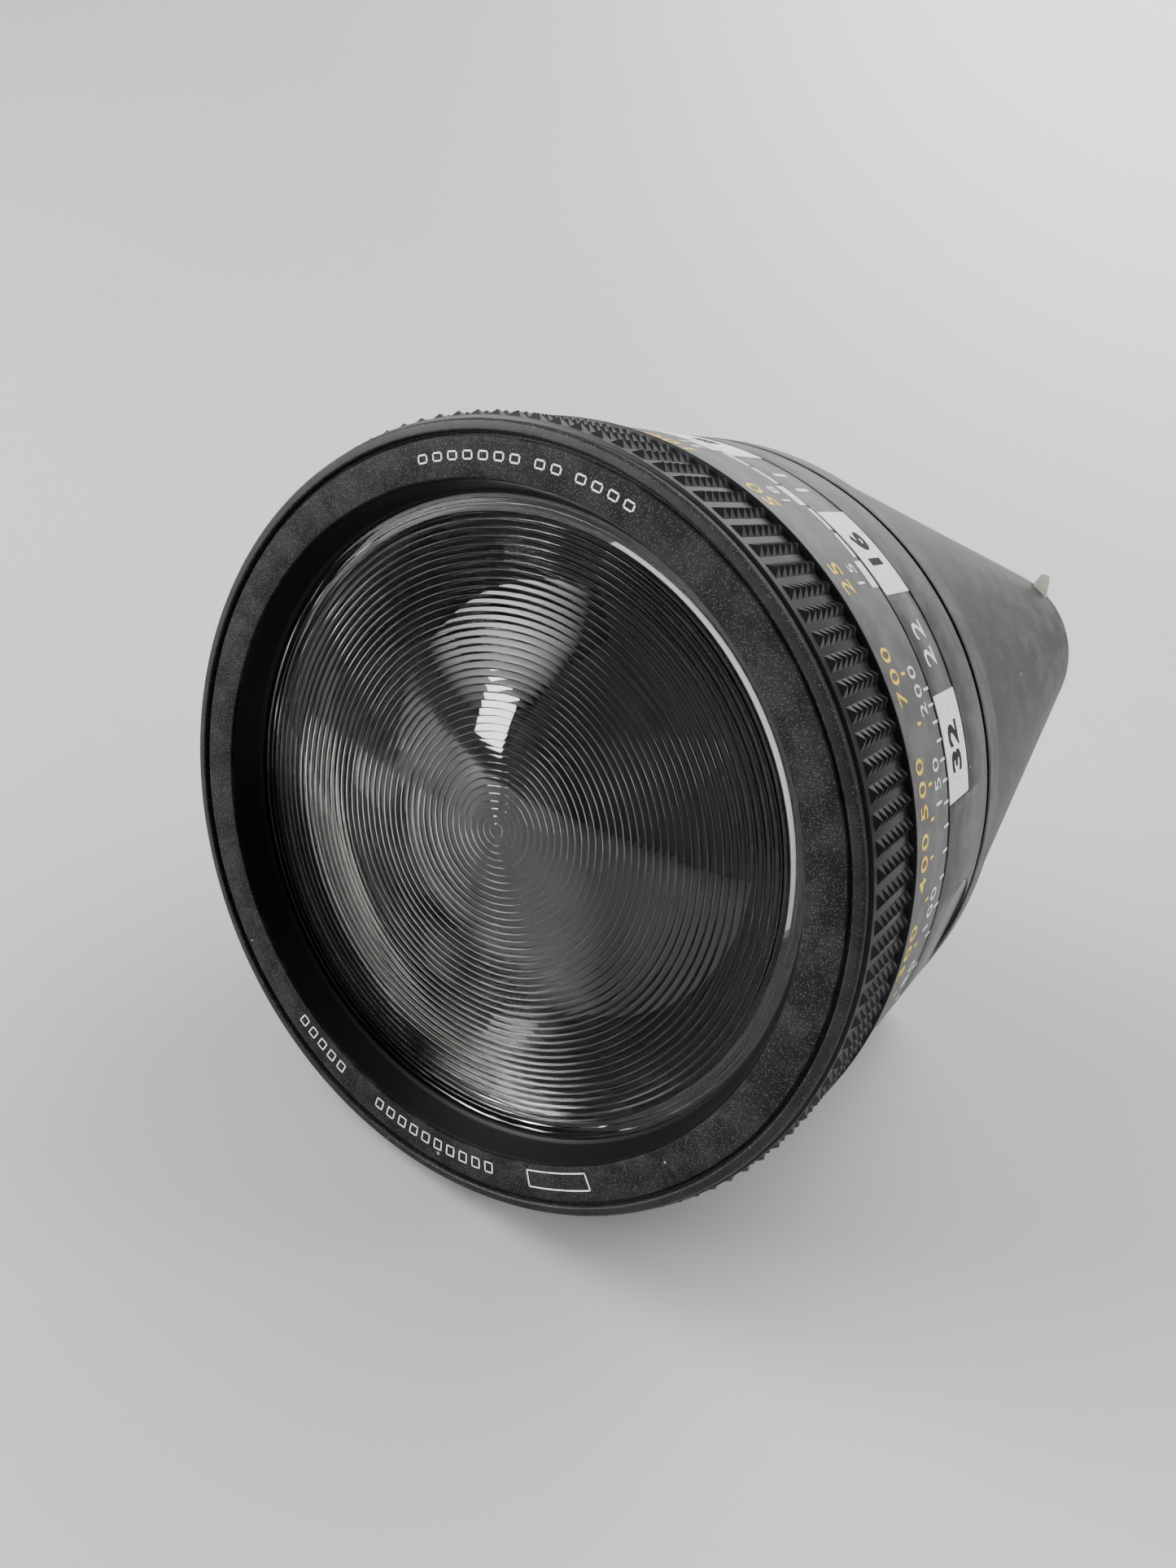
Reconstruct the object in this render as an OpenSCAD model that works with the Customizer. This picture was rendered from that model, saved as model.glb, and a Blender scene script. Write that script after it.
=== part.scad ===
// Telephoto attachment for a hammerhead electronic flash.
// A clear stepped lens sits in the front of a short barrel, a distance and film-speed
// ring turns on the barrel, and a funnel narrows to the socket that takes the flash head.
// Units: mm. The light axis runs along Y, the lens faces -Y, +Z is the top of the socket.
// The origin is the middle of the socket mouth.

/* [Overall] */
// front face of the rim to the mouth of the socket, mm
total_len = 106.4; // [104:0.5:116]
// radius of the front rim, mm
rim_r = 56; // [56:0.1:56.6]
// radius of the printed barrel surfaces, mm
barrel_r = 57; // [56.9:0.1:57.4]

/* [Front] */
// width of the raised rim around the name ring, mm
rim_w = 1.55; // [1.2:0.05:2]
// inner radius of the flat name ring, mm
name_inner_r = 48.7; // [48.3:0.1:49]
// depth of the lens edge behind the front face, mm
lens_depth = 5.8; // [5:0.1:6.4]
// visible radius of the lens, mm
lens_view_r = 47; // [46:0.1:47.4]
// number of steps cut in the lens
lens_steps = 40; // [24:1:44]
// height of one lens step, mm
lens_step_h = 0.45; // [0.2:0.05:0.6]

/* [Setting ring] */
// end of the gripped part behind the front face, mm
grip_end = 16.3; // [15:0.1:17.5]
// end of the scale part behind the front face, mm
scale_end = 32.6; // [31:0.1:33]
// rows of points on the grip
grip_rows = 7; // [5:1:8]
// turn of the setting ring for one lens stop, degrees
stop_deg = 15.2; // [14.8:0.1:15.6]

/* [Barrel] */
// black slot between scale and body, mm
ring_slot = 1; // [0.8:0.1:1.4]
// end of the body behind the front face, mm
body_end = 56.7; // [56:0.1:57.6]
// depth of the f-stop strip along the axis, mm
strip_len = 10.7; // [10:0.1:11]
// arc of the window that holds the strip, degrees
window_arc = 133; // [130:1:136]
// radius of the round side plugs, mm
plug_r = 8.5; // [7.5:0.1:8.7]

/* [Socket] */
// half width of the mouth of the funnel, mm
mouth_w = 52.1; // [51.8:0.1:54]
// half height of the mouth of the funnel, mm
mouth_h = 46.9; // [46.8:0.1:49]
// corner radius of the mouth of the funnel, mm
mouth_corner = 17.4; // [16.8:0.1:18]
// half width of the flash head that fits, mm
head_w = 46; // [45:0.1:46.2]
// half height of the flash head that fits, mm
head_h = 41; // [40:0.1:41.2]
// how far the flash head goes in, mm
socket_deep = 16; // [14:0.5:17]
// distance of each catch from the middle, mm
catch_x = 41.2; // [40.8:0.1:41.6]

/* [Hidden] */
$fn = 96;
eps = 0.01;
fit = 0.05;
// guide sleeve on which the setting ring turns
sleeve_r = 53;
sleeve_in_r = 50.5;
sleeve_front = 2.4;
bezel_z = 1.45;
skirt_r = 50.45;
skirt_in_r = 49.3;
skirt_end = 11.5;
name_floor = 0.95;
name_top = 0.35;
cone_front_r = 48.5;
lens_thick = 2.5;
lens_r = 49.25;
lens_back = lens_depth + lens_thick;
grip_seat_r = 55;
grip_valley_r = 56.2;
grip_peak_r = 57.4;
grip_front = bezel_z + 0.15;
grip_rim_w = 0.9;
body_front = scale_end + ring_slot;
body_in_r = 52.5;
retainer_in_r = 44.9;
strip_seat_r = 55.5;
strip_r = 56.65;
strip_gap = 0.15;
window_from = 90 - window_arc / 2;
block_n = 4;
block_arc = 15.2;
block_up = 0.12;
index_at = 149.5;
plug_z = body_front + 14;
plug_face = 56.5;
plug_thick = 1.5;
lock_end = body_end + 1.15;
lock_r = 56.3;
spigot_r = 52.4;
spigot_in_r = 50;
spigot_front = 41;
collar_r = 57.1;
collar_end = 64.4;
socket_w = head_w + 2.5;
socket_h = head_h + 2.5;
socket_corner = 15.4;
socket_floor = total_len - socket_deep;
frame_thick = 2;
frame_front = socket_floor - frame_thick;
ledge = 3;
pad_thick = 2.5;
pad_gap = 0.02;
drag_at = 270;
drag_r = 55.1;
ball_r = 1.3;
ball_z = body_front - 0.55;
stop_pin_r = 0.8;
stop_track_r = 55;
stop_at = 200;
turn_low = -stop_deg;
turn_high = 6 * stop_deg;
baffle_r = 49.9;
baffle_wall = 0.9;
baffle_front = skirt_end + 0.3;
catch_w = 3.2;
catch_slip = 0.1;
catch_travel = 1.2;
plate_t = 1.4;
plate_back = total_len - 0.7;
plate_front = plate_back - plate_t;
plate_low = 40;
tab_base_h = 45.2;
tab_tip_h = 48.6;
tab_tip_w = 1.6;
foot_w = 2.4;
foot_out = 2.2;
foot_t = 0.9;
spring_roof = 43;
leaf_w = 2;
pin_r = 0.5;
pin_h = 44;
pin_front = total_len - 3.6;
screw_r = 1.25;
frame_screw_r = 0.8;
frame_screw_x = 42.9;
frame_screw_y = 37.9;
frame_screw_head = 1.4;

// everything is drawn with z running back from the front face, then stood along Y
module stand() {
  translate([0, -total_len, 0])
    rotate([-90, 0, 0])
      children();
}

// turns things to an angle seen from the front, counted from +X towards +Z
module at(a) {
  rotate([0, 0, -a])
    children();
}

module tube(r_in, r_out, z0, z1) {
  translate([0, 0, z0])
    difference() {
      cylinder(r = r_out, h = z1 - z0, $fn = 180);
      translate([0, 0, -1])
        cylinder(r = r_in, h = z1 - z0 + 2, $fn = 180);
    }
}

// part of a ring between two angles seen from the front
module arc_block(r_in, r_out, z0, z1, a0, a1) {
  rotate([0, 0, -a1])
    rotate_extrude(angle = a1 - a0, $fn = 180)
      translate([r_in, z0])
        square([r_out - r_in, z1 - z0]);
}

module round_rect(w, h, c, thick) {
  linear_extrude(height = thick)
    union() {
      square([2 * w, 2 * (h - c)], center = true);
      square([2 * (w - c), 2 * h], center = true);
      for (sx = [-1, 1], sy = [-1, 1])
        translate([sx * (w - c), sy * (h - c)])
          circle(r = c, $fn = 64);
    }
}

// straight-sided funnel from a round end to a rounded rectangle
module funnel(r, z0, w, h, c, z1) {
  hull() {
    translate([0, 0, z0])
      cylinder(r = r, h = eps, $fn = 144);
    translate([0, 0, z1 - eps])
      round_rect(w, h, c, eps);
  }
}

// a small turned part that points along the radius at an angle
module radial(a, z) {
  at(a)
    translate([0, 0, z])
      rotate([0, 90, 0])
        children();
}

// slot, spring pocket and pin bore in the corner of the mouth for each catch
module catch_slots() {
  slot_low = plate_low - 4;
  slot_w = catch_w + 2 * catch_slip;
  pocket_w = foot_w + 2 * catch_slip;
  pocket_front = plate_front - foot_out - catch_slip;
  for (sx = [-1, 1])
    translate([sx * catch_x, 0, 0]) {
      translate([-slot_w / 2, -(tab_tip_h + 5), plate_front - catch_slip])
        cube([slot_w, tab_tip_h + 5 - slot_low, plate_t + 2 * catch_slip]);
      translate([-pocket_w / 2, -spring_roof, pocket_front])
        cube([pocket_w, spring_roof - slot_low, plate_front + plate_t / 2 - pocket_front]);
      translate([0, -pin_h, pin_front])
        cylinder(r = pin_r, h = total_len - pin_front + 1, $fn = 24);
    }
}

module rear_housing() {
  color([0.12, 0.12, 0.12])
    stand()
      difference() {
        union() {
          translate([0, 0, spigot_front])
            cylinder(r = spigot_r, h = collar_end - spigot_front, $fn = 180);
          translate([0, 0, lock_end + 0.1])
            cylinder(r = collar_r, h = collar_end - lock_end - 0.1, $fn = 180);
          funnel(collar_r - 0.2, collar_end - 1, mouth_w, mouth_h, mouth_corner, total_len);
        }
        funnel(
          spigot_in_r + 1, collar_end - 2,
          socket_w - ledge, socket_h - ledge, socket_corner - ledge, frame_front + 0.5
        );
        translate([0, 0, frame_front])
          round_rect(socket_w, socket_h, socket_corner, socket_deep + frame_thick + 1);
        translate([0, 0, spigot_front - 1])
          cylinder(r = spigot_in_r, h = collar_end - spigot_front, $fn = 180);
        catch_slots();
        for (a = [0, 180])
          radial(a, plug_z)
            cylinder(r = screw_r, h = 60, $fn = 24);
        frame_holes();
      }
}

module frame_holes() {
  for (sx = [-1, 1], sy = [-1, 1])
    translate([sx * frame_screw_x, sy * frame_screw_y, frame_front - 4])
      cylinder(r = frame_screw_r, h = frame_thick + 6, $fn = 24);
}

module body_ring() {
  color([0.16, 0.16, 0.16])
    stand()
      difference() {
        union() {
          tube(sleeve_in_r, sleeve_r, sleeve_front, body_front + 1);
          tube(sleeve_in_r, barrel_r, body_front, body_front + 3);
          tube(body_in_r, barrel_r, body_front + 2.9, body_end);
        }
        arc_block(
          strip_seat_r, barrel_r + 1, body_front - 1, body_front + strip_len + 0.3,
          window_from, window_from + window_arc
        );
        for (a = [0, 180])
          radial(a, plug_z) {
            translate([0, 0, plug_face - plug_thick])
              cylinder(r = plug_r + 0.1, h = 5, $fn = 64);
            translate([0, 0, 50])
              cylinder(r = screw_r, h = 9, $fn = 24);
            translate([0, 0, plug_face - plug_thick - 1])
              cylinder(r = 2.6, h = 3, $fn = 32);
          }
        at(drag_at)
          translate([drag_r, 0, body_front - 1])
            cylinder(r = ball_r + fit, h = 7, $fn = 32);
        at(stop_at)
          translate([stop_track_r, 0, body_front - 1])
            cylinder(r = stop_pin_r, h = 4, $fn = 24);
      }
}

module front_bezel() {
  rim_in = rim_r - rim_w;
  color([0.10, 0.10, 0.11])
    stand()
      rotate_extrude($fn = 180)
        polygon([
          [skirt_in_r, name_floor + 0.01], [rim_in - 0.25, name_floor + 0.01], [rim_in, name_floor - 0.2],
          [rim_in, 0.12], [rim_in + 0.12, 0], [rim_r - 0.45, 0], [rim_r, 0.5],
          [rim_r, bezel_z], [sleeve_r, bezel_z], [sleeve_r, sleeve_front - fit],
          [skirt_r, sleeve_front - fit], [skirt_r, skirt_end], [skirt_in_r, skirt_end]
        ]);
}

module name_ring() {
  rim_in = rim_r - rim_w;
  color([0.15, 0.15, 0.16])
    stand()
      rotate_extrude($fn = 180)
        polygon([
          [name_inner_r, name_floor], [name_inner_r, name_top + 0.1], [name_inner_r + 0.1, name_top],
          [rim_in - 0.7, name_top], [rim_in - 0.45, name_top + 0.25], [rim_in - 0.45, name_floor]
        ]);
}

module front_cone() {
  color([0.05, 0.05, 0.05])
    stand()
      rotate_extrude($fn = 180)
        polygon([
          [cone_front_r, name_floor + 0.01], [skirt_in_r - fit, name_floor + 0.01],
          [skirt_in_r - fit, lens_depth], [lens_view_r, lens_depth],
          [lens_view_r, lens_depth - 0.5], [lens_view_r + 0.45, lens_depth - 0.7]
        ]);
}

// clear plate with rings of shallow steps on its front
module fresnel_lens() {
  pitch = (lens_view_r - 1) / lens_steps;
  base_z = lens_depth + lens_step_h;
  color([0.75, 0.80, 0.82, 0.5])
    stand()
      rotate_extrude($fn = 144)
        polygon(concat(
          [[0, lens_back], [0, base_z - lens_step_h / 2]],
          [for (i = [1 : lens_steps], k = [0, 1])
            [i * pitch + k * 0.06, base_z - k * lens_step_h]],
          [[lens_view_r - 0.4, base_z - 0.05], [lens_view_r, lens_depth + 0.01],
           [lens_r, lens_depth + 0.01], [lens_r, lens_back]]
        ));
}

module lens_retainer() {
  color([0.08, 0.08, 0.08])
    stand()
      difference() {
        tube(retainer_in_r, skirt_in_r - 0.01, lens_back, skirt_end);
        for (a = [0, 180])
          at(a)
            translate([retainer_in_r - 1, -0.8, skirt_end - 1.2])
              cube([3.5, 1.6, 2]);
      }
}

// thin ribbed tube that keeps stray light off the lens
module inner_baffle() {
  ribs = 9;
  z_end = lock_end + 4;
  pitch = (z_end - baffle_front) / ribs;
  color([0.04, 0.04, 0.04])
    stand()
      rotate_extrude($fn = 144)
        polygon(concat(
          [[baffle_r, z_end], [baffle_r, baffle_front]],
          [for (i = [0 : ribs - 1], k = [0 : 2])
            [baffle_r - baffle_wall - (k == 1 ? 0.8 : 0), baffle_front + pitch * (i + k * 0.3)]],
          [[baffle_r - baffle_wall, z_end]]
        ));
}

module setting_ring() {
  sweep = turn_high - turn_low;
  slack = atan(stop_pin_r / stop_track_r) + 0.2;
  color([0.13, 0.13, 0.13])
    stand()
      difference() {
        union() {
          tube(sleeve_r + fit, grip_seat_r, grip_front + 0.5, grip_end + 0.5);
          tube(sleeve_r + fit, barrel_r, grip_end + fit, scale_end);
        }
        arc_block(
          stop_track_r - stop_pin_r - 0.1, stop_track_r + stop_pin_r + 0.1,
          scale_end - 1.4, scale_end + 1,
          stop_at - turn_high - slack, stop_at - turn_low + slack
        );
        rotate_extrude($fn = 144)
          translate([drag_r, ball_z])
            circle(r = ball_r + 0.08, $fn = 32);
      }
}

// soft sleeve: rings of points between a smooth front band and a raised rear rim
module grip_sleeve() {
  z0 = grip_front + 1;
  z1 = grip_end - grip_rim_w;
  pitch = (z1 - z0) / grip_rows;
  color([0.09, 0.09, 0.09])
    stand()
      rotate_extrude($fn = 180)
        polygon(concat(
          [[grip_seat_r, grip_end], [grip_seat_r, grip_front], [56.2, grip_front], [56.6, grip_front + 0.4],
           [56.6, z0 - 0.2]],
          [for (i = [0 : grip_rows - 1], k = [0, 1])
            [k == 0 ? grip_valley_r : grip_peak_r, z0 + pitch * (i + k * 0.5)]],
          [[grip_valley_r, z1], [grip_peak_r - 0.05, z1 + 0.1], [grip_peak_r - 0.05, grip_end]]
        ));
}

module glide_washer() {
  color([0.75, 0.72, 0.62])
    stand()
      tube(sleeve_r + fit, grip_seat_r - 0.2, bezel_z, grip_front + 0.45);
}

module aperture_strip() {
  color([0.11, 0.11, 0.12])
    stand()
      arc_block(
        strip_seat_r, strip_r, body_front, body_front + strip_len,
        window_from + strip_gap, window_from + window_arc - strip_gap
      );
}

module stop_blocks() {
  z0 = body_front + 0.4;
  z1 = body_front + strip_len - 0.4;
  first = window_from + 0.3;
  color([0.93, 0.93, 0.91])
    stand()
      for (i = [0 : block_n - 1])
        arc_block(
          strip_r, strip_r + block_up, z0, z1,
          first + 2 * i * block_arc, first + (2 * i + 1) * block_arc
        );
}

module speed_index() {
  color([0.93, 0.93, 0.91])
    stand()
      arc_block(
        strip_r, strip_r + block_up, body_front + 0.2, body_front + 5,
        index_at - 0.5, index_at + 0.5
      );
}

module lock_ring() {
  notches = 48;
  color([0.06, 0.06, 0.06])
    stand()
      difference() {
        tube(spigot_r + fit, lock_r, body_end, lock_end);
        for (i = [0 : notches - 1])
          at(i * 360 / notches)
            translate([lock_r - 0.25, -0.25, body_end - 1])
              cube([2, 0.5, 4]);
      }
}

module side_plugs() {
  color([0.30, 0.30, 0.30])
    stand()
      for (a = [0, 180])
        radial(a, plug_z)
          translate([0, 0, plug_face - plug_thick])
            cylinder(r = plug_r, h = plug_thick, $fn = 64);
}

module clamp_screws() {
  head_z = plug_face - plug_thick - 1;
  color([0.55, 0.55, 0.57])
    stand()
      for (a = [0, 180])
        radial(a, plug_z)
          difference() {
            union() {
              translate([0, 0, spigot_in_r + 0.2])
                cylinder(r = screw_r - 0.01, h = head_z - spigot_in_r, $fn = 24);
              translate([0, 0, head_z])
                cylinder(r = 2.55, h = 1, $fn = 32);
            }
            translate([-3, -0.3, head_z + 0.5])
              cube([6, 0.6, 1]);
          }
}

module stop_pin() {
  color([0.6, 0.6, 0.62])
    stand()
      at(stop_at)
        translate([stop_track_r, 0, scale_end - 1.1])
          cylinder(r = stop_pin_r - 0.01, h = ring_slot + 4.1, $fn = 24);
}

module drag_ball() {
  color([0.8, 0.8, 0.82])
    stand()
      at(drag_at)
        translate([drag_r, 0, ball_z])
          sphere(r = ball_r, $fn = 32);
}

// a run of turns pictured as one ridged rod
module coil(r, turns, len) {
  pitch = len / turns;
  rotate_extrude($fn = 24)
    polygon(concat(
      [[0, len], [0, 0]],
      [for (i = [0 : turns - 1], k = [0 : 3])
        [k == 1 || k == 2 ? r : r * 0.72, pitch * (i + [0.02, 0.25, 0.55, 0.8][k])]],
      [[r * 0.72, len]]
    ));
}

module drag_spring() {
  start = ball_z + ball_r;
  color([0.6, 0.6, 0.62])
    stand()
      at(drag_at)
        translate([drag_r, 0, start])
          coil(ball_r - 0.1, 6, body_front + 6 - start);
}

// plate the flash head stops against
module stop_frame() {
  color([0.10, 0.10, 0.10])
    stand()
      difference() {
        translate([0, 0, frame_front])
          round_rect(socket_w - 0.05, socket_h - 0.05, socket_corner - 0.05, frame_thick);
        translate([0, 0, frame_front - 1])
          round_rect(40.5, 35.5, 6, frame_thick + 2);
        frame_holes();
      }
}

module frame_screws() {
  color([0.5, 0.5, 0.52])
    stand()
      for (sx = [-1, 1], sy = [-1, 1])
        translate([sx * frame_screw_x, sy * frame_screw_y, 0])
          difference() {
            union() {
              translate([0, 0, frame_front - 3.9])
                cylinder(r = frame_screw_r - 0.01, h = frame_thick + 4, $fn = 24);
              translate([0, 0, socket_floor])
                cylinder(r = frame_screw_head, h = 0.9, $fn = 24);
            }
            translate([-3, -0.2, socket_floor + 0.5])
              cube([6, 0.4, 1]);
          }
}

module pads_wide() {
  color([0.22, 0.21, 0.20])
    stand()
      for (sy = [-1, 1])
        translate([-29, sy * (socket_h - pad_thick / 2) - pad_thick / 2, socket_floor + 1.5])
          cube([58, pad_thick - pad_gap, socket_deep - 3]);
}

module pads_tall() {
  color([0.22, 0.21, 0.20])
    stand()
      for (sx = [-1, 1])
        translate([sx * (socket_w - pad_thick / 2) - pad_thick / 2, -24, socket_floor + 1.5])
          cube([pad_thick - pad_gap, 48, socket_deep - 3]);
}

// sprung slide: plate with a tapered finger tab outside, its end in the socket and a foot for the spring
module catch_plate(side) {
  half = catch_w / 2;
  tip = tab_tip_w / 2;
  hole_r = pin_r + fit;
  translate([side * catch_x, 0, 0])
    difference() {
      union() {
        translate([0, 0, plate_front])
          linear_extrude(height = plate_t)
            polygon([
              [-half, -(plate_low + 0.3)], [-half, -tab_base_h], [-tip, -(tab_tip_h - 0.3)],
              [0.3 - tip, -tab_tip_h], [tip - 0.3, -tab_tip_h], [tip, -(tab_tip_h - 0.3)],
              [half, -tab_base_h], [half, -(plate_low + 0.3)], [half - 0.3, -plate_low],
              [0.3 - half, -plate_low]
            ]);
        translate([-foot_w / 2, -(plate_low + foot_t), plate_front - foot_out])
          cube([foot_w, foot_t, foot_out + plate_t / 2]);
      }
      for (z = [pin_h, pin_h - catch_travel])
        translate([0, -z, plate_front - 1])
          cylinder(r = hole_r, h = plate_t + 2, $fn = 24);
      translate([-hole_r, -pin_h, plate_front - 1])
        cube([2 * hole_r, catch_travel, plate_t + 2]);
    }
}

module tint_catch() {
  color([0.42, 0.41, 0.38])
    stand()
      children();
}

module catch_right() {
  tint_catch()
    catch_plate(1);
}

module catch_left() {
  tint_catch()
    catch_plate(-1);
}

module catch_pins() {
  color([0.62, 0.62, 0.64])
    stand()
      for (sx = [-1, 1])
        translate([sx * catch_x, -pin_h, pin_front + 0.05])
          cylinder(r = pin_r - 0.01, h = total_len - pin_front - 0.1, $fn = 24);
}

// bent leaf between the foot of a catch and the roof of its pocket
module leaf(side) {
  low = plate_low + foot_t + 0.02;
  high = spring_roof - 0.02;
  middle = (low + high) / 2;
  leaf_front = plate_front - foot_out + 0.1;
  leaf_back = plate_front - 0.25;
  color([0.65, 0.65, 0.67])
    stand()
      translate([side * catch_x - leaf_w / 2, 0, 0])
        rotate([0, 90, 0])
          linear_extrude(height = leaf_w)
            polygon([
              [-leaf_front, -low], [-leaf_back, -middle], [-leaf_front, -high],
              [-leaf_front, -(high - 0.25)], [-(leaf_back - 0.45), -middle],
              [-leaf_front, -(low + 0.25)]
            ]);
}

module spring_right() {
  leaf(1);
}

module spring_left() {
  leaf(-1);
}

rear_housing();
body_ring();
front_bezel();
name_ring();
front_cone();
fresnel_lens();
lens_retainer();
inner_baffle();
setting_ring();
grip_sleeve();
glide_washer();
aperture_strip();
stop_blocks();
speed_index();
lock_ring();
side_plugs();
clamp_screws();
stop_pin();
drag_ball();
drag_spring();
stop_frame();
frame_screws();
pads_wide();
pads_tall();
catch_right();
catch_left();
catch_pins();
spring_right();
spring_left();
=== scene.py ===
import math

import bpy
from mathutils import Matrix, Vector


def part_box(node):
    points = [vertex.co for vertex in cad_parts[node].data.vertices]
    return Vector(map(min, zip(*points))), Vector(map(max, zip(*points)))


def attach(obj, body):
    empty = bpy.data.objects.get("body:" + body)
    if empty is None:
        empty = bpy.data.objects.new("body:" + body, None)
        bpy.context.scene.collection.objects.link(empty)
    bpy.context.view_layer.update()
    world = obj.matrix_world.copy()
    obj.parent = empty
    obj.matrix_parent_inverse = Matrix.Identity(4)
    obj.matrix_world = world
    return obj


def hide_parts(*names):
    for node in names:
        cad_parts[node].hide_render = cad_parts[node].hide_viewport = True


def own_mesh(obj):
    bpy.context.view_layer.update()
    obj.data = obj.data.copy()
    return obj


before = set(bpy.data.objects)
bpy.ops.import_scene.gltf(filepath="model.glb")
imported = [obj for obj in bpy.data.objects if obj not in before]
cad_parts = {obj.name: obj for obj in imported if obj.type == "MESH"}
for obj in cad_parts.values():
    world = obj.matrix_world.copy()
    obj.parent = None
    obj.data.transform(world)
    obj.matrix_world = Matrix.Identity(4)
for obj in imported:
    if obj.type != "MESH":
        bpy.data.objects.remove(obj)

bl_info = {
    "name": "Telephoto flash attachment",
    "version": (1, 0, 0),
    "blender": (4, 5, 0),
    "location": "View3D > Sidebar > Tele attachment",
    "description": "Builds the looks of a telephoto attachment for a hammerhead flash",
    "category": "Object",
}

MM = 0.001
AXIS = Vector((0.0, -1.0, 0.0))
# the front face of the rim and the mouth of the socket, along the light axis
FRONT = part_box("front_bezel")[0][1]
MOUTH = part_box("rear_housing")[1][1]
LENGTH = (MOUTH - FRONT) / MM
RIM_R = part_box("front_bezel")[1][0] / MM
BARREL_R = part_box("setting_ring")[1][0] / MM
# where the window for the f-stop strip starts, and how far round the barrel it goes
STRIP_FROM = 23.5
STRIP_ARC = 133.0
# middle of the round plugs in the sides of the barrel
PLUG_DEPTH = 47.6
# the raised rear rim of the grip, and half the height of the mouth
GRIP_RIM_R = 57.4
MOUTH_HALF = 46.9
# distance of each catch from the middle
CATCH_X = 41.2
# facets round the large turned pieces
FACETS = 288
# how far the moulded grain stands up, in metres
GRAIN_RISE = 0.00003


# ---------------------------------------------------------------- helpers

def calm():
    """Object mode, nothing selected."""
    if bpy.context.object and bpy.context.object.mode != "OBJECT":
        bpy.ops.object.mode_set(mode="OBJECT")
    bpy.ops.object.select_all(action="DESELECT")


def only(ob):
    """Selects one object and makes it active."""
    calm()
    ob.select_set(True)
    bpy.context.view_layer.objects.active = ob


def named(ob, name):
    ob.name = name
    ob.data.name = name
    return ob


def spot(r, depth, turn=0.0):
    """A point r mm from the axis and depth mm behind the front face, at an angle from +X towards +Z."""
    a = math.radians(turn)
    return Vector((r * MM * math.cos(a), FRONT + depth * MM, r * MM * math.sin(a)))


def settle(ob):
    """Gives the mesh its place and leaves the object at the origin."""
    only(ob)
    bpy.ops.object.transform_apply(location=True, rotation=True, scale=True)
    return ob


def outward(ob, gap=0.000004):
    """Merges points closer than the gap and turns every face outwards."""
    only(ob)
    bpy.ops.object.mode_set(mode="EDIT")
    bpy.ops.mesh.select_all(action="SELECT")
    bpy.ops.mesh.remove_doubles(threshold=gap)
    bpy.ops.mesh.dissolve_degenerate(threshold=gap)
    bpy.ops.mesh.normals_make_consistent(inside=False)
    bpy.ops.object.mode_set(mode="OBJECT")
    return ob


def smooth(ob, angle=28.0):
    only(ob)
    bpy.ops.object.shade_smooth_by_angle(angle=math.radians(angle))
    return ob


def turned(name, outline, steps=240, start=0.0, sweep=360.0, angle=28.0):
    """A closed outline of (radius, depth) points in mm, extruded point by point and spun."""
    calm()
    bpy.ops.mesh.primitive_plane_add(size=0.001, location=(0, 0, 0))
    ob = named(bpy.context.object, name)
    points = [spot(r, d, start) for r, d in outline]
    bpy.ops.object.mode_set(mode="EDIT")
    bpy.ops.mesh.select_all(action="SELECT")
    bpy.ops.mesh.merge(type="CENTER")
    bpy.ops.transform.translate(value=points[0])
    for a, b in zip(points, points[1:]):
        bpy.ops.mesh.extrude_region_move(TRANSFORM_OT_translate={"value": b - a})
    bpy.ops.mesh.select_all(action="SELECT")
    bpy.ops.mesh.edge_face_add()
    whole = sweep > 359.9
    if whole:
        bpy.ops.mesh.delete(type="ONLY_FACE")
        bpy.ops.mesh.select_all(action="SELECT")
    bpy.ops.mesh.spin(steps=steps, angle=-math.radians(sweep), center=(0, 0, 0), axis=AXIS)
    bpy.ops.object.mode_set(mode="OBJECT")
    outward(ob)
    return smooth(ob, angle)


def bar(name, r0, r1, d0, d1, a0, a1, steps=None):
    """A block bent round the barrel between two radii, two depths and two angles."""
    steps = steps or max(1, round((a1 - a0) / 1.5))
    return turned(name, [(r0, d0), (r1, d0), (r1, d1), (r0, d1)], steps, a0, a1 - a0)


def join(name, parts):
    """One named object from several."""
    calm()
    for p in parts:
        p.select_set(True)
    bpy.context.view_layer.objects.active = parts[0]
    if len(parts) > 1:
        bpy.ops.object.join()
    return named(bpy.context.object, name)


def copies(ob, turns):
    """Copies of one piece, each with its own mesh, turned about the light axis."""
    out = []
    for t in turns:
        c = ob.copy()
        c.data = ob.data.copy()
        c.data.transform(Matrix.Rotation(math.radians(t), 4, AXIS))
        bpy.context.collection.objects.link(c)
        out.append(c)
    return out


def cut(ob, tool, mode="DIFFERENCE"):
    """Takes the tool's shape away from the object, or adds it with UNION."""
    only(ob)
    m = ob.modifiers.new("cut", "BOOLEAN")
    m.operation = mode
    m.solver = "EXACT"
    m.object = tool
    bpy.ops.object.modifier_apply(modifier=m.name)
    bpy.data.objects.remove(tool, do_unlink=True)
    return ob


def bevel(ob, width, segments=2, limit=30.0):
    """Rounds the edges sharper than the limit, to a width in mm."""
    only(ob)
    m = ob.modifiers.new("edge", "BEVEL")
    m.width = width * MM
    m.segments = segments
    m.limit_method = "ANGLE"
    m.angle_limit = math.radians(limit)
    m.use_clamp_overlap = True
    bpy.ops.object.modifier_apply(modifier=m.name)
    return ob


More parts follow.
